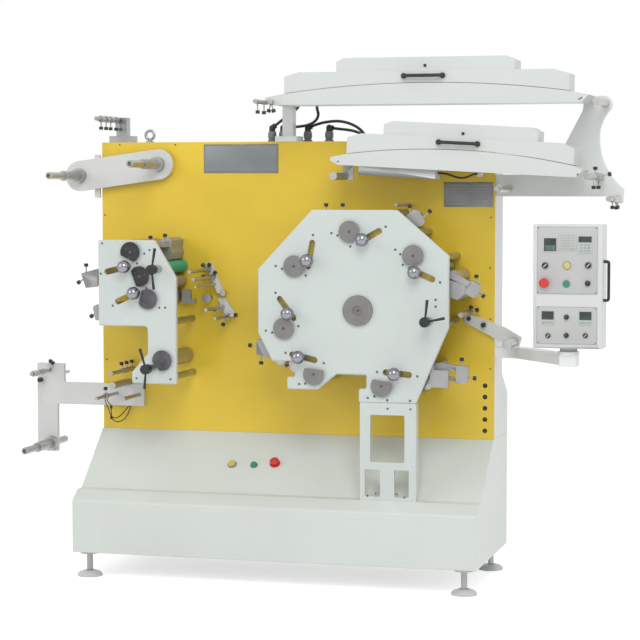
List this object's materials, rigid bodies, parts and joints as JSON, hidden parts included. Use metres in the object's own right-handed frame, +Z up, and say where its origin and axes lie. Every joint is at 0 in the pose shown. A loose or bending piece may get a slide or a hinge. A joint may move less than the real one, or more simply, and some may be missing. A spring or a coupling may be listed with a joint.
{
  "type": "flexographic printing press",
  "caption": "Narrow-web flexographic label press: satellite print drum with stations behind an octagonal plate, reel spindles, two dryer hoods and a swivelling control box.",
  "frame": {"origin": "middle of the press's outline, on the floor", "axes": "X along the press to the right seen from its operator's side, Y to the rear, Z up"},
  "size_m": [2.511, 0.72, 2.13],
  "materials": {
    "button_red": "gloss plastic",
    "cabinet_white": "satin light grey-white paint",
    "disc_steel": "turned metal",
    "control_black": "buttons, switches and displays",
    "handle_black": "moulded plastic",
    "gland_black": "moulded plastic",
    "lever_steel": "dark cast handle",
    "bracket_grey": "satin grey paint",
    "bright_steel": "ground steel",
    "hose_black": "ribbed flexible conduit",
    "fountain_alloy": "milled metal",
    "roller_rubber": "ground rubber",
    "ball_chrome": "polished chrome",
    "plate_white": "satin light grey-white paint",
    "foot_steel": "zinc-plated steel",
    "panel_yellow": "satin yellow paint",
    "plate_label": "bare satin sheet"
  },
  "bodies": {
    "frame": {"base_buttons": "button_red", "base_cabinet": "cabinet_white", "bearing_discs": "disc_steel", "cable_glands": "gland_black", "control_arm": "cabinet_white", "guide_brackets": "bracket_grey", "guide_rollers": "bright_steel", "hood_carrier": "cabinet_white", "horn_bracket": "bracket_grey", "hose_1": "hose_black", "hose_2": "hose_black", "hose_3": "hose_black", "hose_4": "hose_black", "ink_fountains": "fountain_alloy", "ink_rollers": "roller_rubber", "lamp_cable": "hose_black", "left_plate": "plate_white", "levelling_feet": "foot_steel", "lifting_eye": "bright_steel", "lower_tray": "cabinet_white", "main_panel": "panel_yellow", "name_plates": "plate_label", "octagon_plate": "plate_white", "rear_cabinet": "cabinet_white", "rewind_arm": "bracket_grey", "roller_post": "bright_steel", "support_leg": "plate_white", "tie_bars": "bright_steel", "unwind_bracket": "bracket_grey", "upper_tray": "cabinet_white"},
    "drum": {"impression_drum": "bright_steel"},
    "cylinder_1": {"plate_cylinder_1": "bright_steel"},
    "cylinder_2": {"plate_cylinder_2": "bright_steel"},
    "cylinder_3": {"plate_cylinder_3": "bright_steel"},
    "cylinder_4": {"plate_cylinder_4": "bright_steel"},
    "cylinder_5": {"plate_cylinder_5": "bright_steel"},
    "cylinder_6": {"plate_cylinder_6": "bright_steel"},
    "left_roll_1": {"left_cylinder_1": "bright_steel"},
    "left_roll_2": {"left_cylinder_2": "bright_steel"},
    "left_roll_3": {"left_cylinder_3": "bright_steel"},
    "left_roll_4": {"left_cylinder_4": "bright_steel"},
    "throw_1": {"throw_knob_1": "ball_chrome"},
    "throw_2": {"throw_knob_2": "ball_chrome"},
    "throw_3": {"throw_knob_3": "ball_chrome"},
    "throw_4": {"throw_knob_4": "ball_chrome"},
    "throw_5": {"throw_knob_5": "ball_chrome"},
    "throw_6": {"throw_knob_6": "ball_chrome"},
    "left_throw_1": {"left_knob_1": "ball_chrome"},
    "left_throw_2": {"left_knob_2": "ball_chrome"},
    "clamp": {"clamp_lever": "lever_steel"},
    "left_clamp_upper": {"left_lever_upper": "lever_steel"},
    "left_clamp_lower": {"left_lever_lower": "lever_steel"},
    "unwind": {"unwind_spindle": "bright_steel"},
    "rewind_left": {"rewind_spindle_left": "bright_steel"},
    "rewind_right": {"rewind_spindle_right": "bright_steel"},
    "upper_hood": {"upper_lid": "cabinet_white"},
    "lower_hood": {"lower_lid": "cabinet_white"},
    "console": {"control_box": "cabinet_white", "box_handle": "handle_black", "box_controls": "control_black"}
  },
  "joints": [
    {"name": "drum_spin", "type": "hinge", "parent": "frame", "child": "drum", "pos_m": [0.2395, -0.12, 1.122], "axis": [0, 1, 0], "continuous": true},
    {"name": "cylinder_1_spin", "type": "hinge", "parent": "frame", "child": "cylinder_1", "pos_m": [0.46566, -0.12, 1.3427], "axis": [0, 1, 0], "continuous": true},
    {"name": "cylinder_2_spin", "type": "hinge", "parent": "frame", "child": "cylinder_2", "pos_m": [0.20537, -0.12, 1.43615], "axis": [0, 1, 0], "continuous": true},
    {"name": "cylinder_3_spin", "type": "hinge", "parent": "frame", "child": "cylinder_3", "pos_m": [-0.02401, -0.12, 1.29641], "axis": [0, 1, 0], "continuous": true},
    {"name": "cylinder_4_spin", "type": "hinge", "parent": "frame", "child": "cylinder_4", "pos_m": [-0.06698, -0.12, 1.04502], "axis": [0, 1, 0], "continuous": true},
    {"name": "cylinder_5_spin", "type": "hinge", "parent": "frame", "child": "cylinder_5", "pos_m": [0.0587, -0.12, 0.86283], "axis": [0, 1, 0], "continuous": true},
    {"name": "cylinder_6_spin", "type": "hinge", "parent": "frame", "child": "cylinder_6", "pos_m": [0.3382, -0.12, 0.82181], "axis": [0, 1, 0], "continuous": true},
    {"name": "left_roll_1_spin", "type": "hinge", "parent": "frame", "child": "left_roll_1", "pos_m": [-0.7215, -0.12, 1.347], "axis": [0, 1, 0], "continuous": true},
    {"name": "left_roll_2_spin", "type": "hinge", "parent": "frame", "child": "left_roll_2", "pos_m": [-0.6815, -0.12, 1.248], "axis": [0, 1, 0], "continuous": true},
    {"name": "left_roll_3_spin", "type": "hinge", "parent": "frame", "child": "left_roll_3", "pos_m": [-0.6475, -0.12, 1.155], "axis": [0, 1, 0], "continuous": true},
    {"name": "left_roll_4_spin", "type": "hinge", "parent": "frame", "child": "left_roll_4", "pos_m": [-0.5855, -0.12, 0.904], "axis": [0, 1, 0], "continuous": true},
    {"name": "throw_1_slide", "type": "slide", "parent": "frame", "child": "throw_1", "axis": [0.9222, 0, -0.3867], "range_m": [-0.023, 0.0695]},
    {"name": "throw_2_slide", "type": "slide", "parent": "frame", "child": "throw_2", "axis": [0.8734, 0, 0.4871], "range_m": [-0.025, 0.0675]},
    {"name": "throw_3_slide", "type": "slide", "parent": "frame", "child": "throw_3", "axis": [0.1831, 0, 0.9831], "range_m": [-0.023, 0.0695]},
    {"name": "throw_4_slide", "type": "slide", "parent": "frame", "child": "throw_4", "axis": [-0.6025, 0, 0.7981], "range_m": [-0.023, 0.0695]},
    {"name": "throw_5_slide", "type": "slide", "parent": "frame", "child": "throw_5", "axis": [-0.9783, 0, 0.2071], "range_m": [-0.059, 0.0335]},
    {"name": "throw_6_slide", "type": "slide", "parent": "frame", "child": "throw_6", "axis": [0.9966, 0, -0.0828], "range_m": [-0.041, 0.0515]},
    {"name": "left_throw_1_slide", "type": "slide", "parent": "frame", "child": "left_throw_1", "axis": [-0.9687, 0, -0.2484], "range_m": [-0.004, 0.0888]},
    {"name": "left_throw_2_slide", "type": "slide", "parent": "frame", "child": "left_throw_2", "axis": [-0.9135, 0, -0.4069], "range_m": [-0.004, 0.0884]},
    {"name": "clamp_turn", "type": "hinge", "parent": "frame", "child": "clamp", "pos_m": [0.5305, -0.3, 1.085], "axis": [0, 1, 0], "range_deg": [0, 90]},
    {"name": "left_clamp_upper_turn", "type": "hinge", "parent": "frame", "child": "left_clamp_upper", "pos_m": [-0.6025, -0.3, 1.279], "axis": [0, 1, 0], "range_deg": [0, 90]},
    {"name": "left_clamp_lower_turn", "type": "hinge", "parent": "frame", "child": "left_clamp_lower", "pos_m": [-0.6295, -0.3, 0.873], "axis": [0, 1, 0], "range_deg": [0, 90]},
    {"name": "unwind_spin", "type": "hinge", "parent": "frame", "child": "unwind", "pos_m": [-1.1905, -0.12, 0.512], "axis": [0, 1, 0], "continuous": true},
    {"name": "rewind_left_spin", "type": "hinge", "parent": "frame", "child": "rewind_left", "pos_m": [-1.0475, -0.12, 1.66], "axis": [0, 1, 0], "continuous": true},
    {"name": "rewind_right_spin", "type": "hinge", "parent": "frame", "child": "rewind_right", "pos_m": [-0.6955, -0.12, 1.708], "axis": [0, 1, 0], "continuous": true},
    {"name": "upper_hood_hinge", "type": "hinge", "parent": "frame", "child": "upper_hood", "pos_m": [0.4905, -0.022, 1.991], "axis": [-1, 0, 0], "range_deg": [0, 60]},
    {"name": "lower_hood_hinge", "type": "hinge", "parent": "frame", "child": "lower_hood", "pos_m": [0.63035, -0.022, 1.72356], "axis": [-0.9986, 0, 0.0532], "range_deg": [0, 22]},
    {"name": "console_swivel", "type": "hinge", "parent": "frame", "child": "console", "pos_m": [1.0855, -0.263, 1], "axis": [0, 0, 1], "range_deg": [-60, 60]}
  ],
  "couplings": [
    {"joint": "cylinder_1_spin", "follows": "drum_spin", "ratio": -5.7609},
    {"joint": "cylinder_2_spin", "follows": "drum_spin", "ratio": -5.7609},
    {"joint": "cylinder_3_spin", "follows": "drum_spin", "ratio": -5.7609},
    {"joint": "cylinder_4_spin", "follows": "drum_spin", "ratio": -5.7609},
    {"joint": "cylinder_5_spin", "follows": "drum_spin", "ratio": -5.7609},
    {"joint": "cylinder_6_spin", "follows": "drum_spin", "ratio": -5.7609},
    {"joint": "left_roll_2_spin", "follows": "left_roll_1_spin", "ratio": -1.087},
    {"joint": "left_roll_3_spin", "follows": "left_roll_1_spin", "ratio": 1.087}
  ]
}
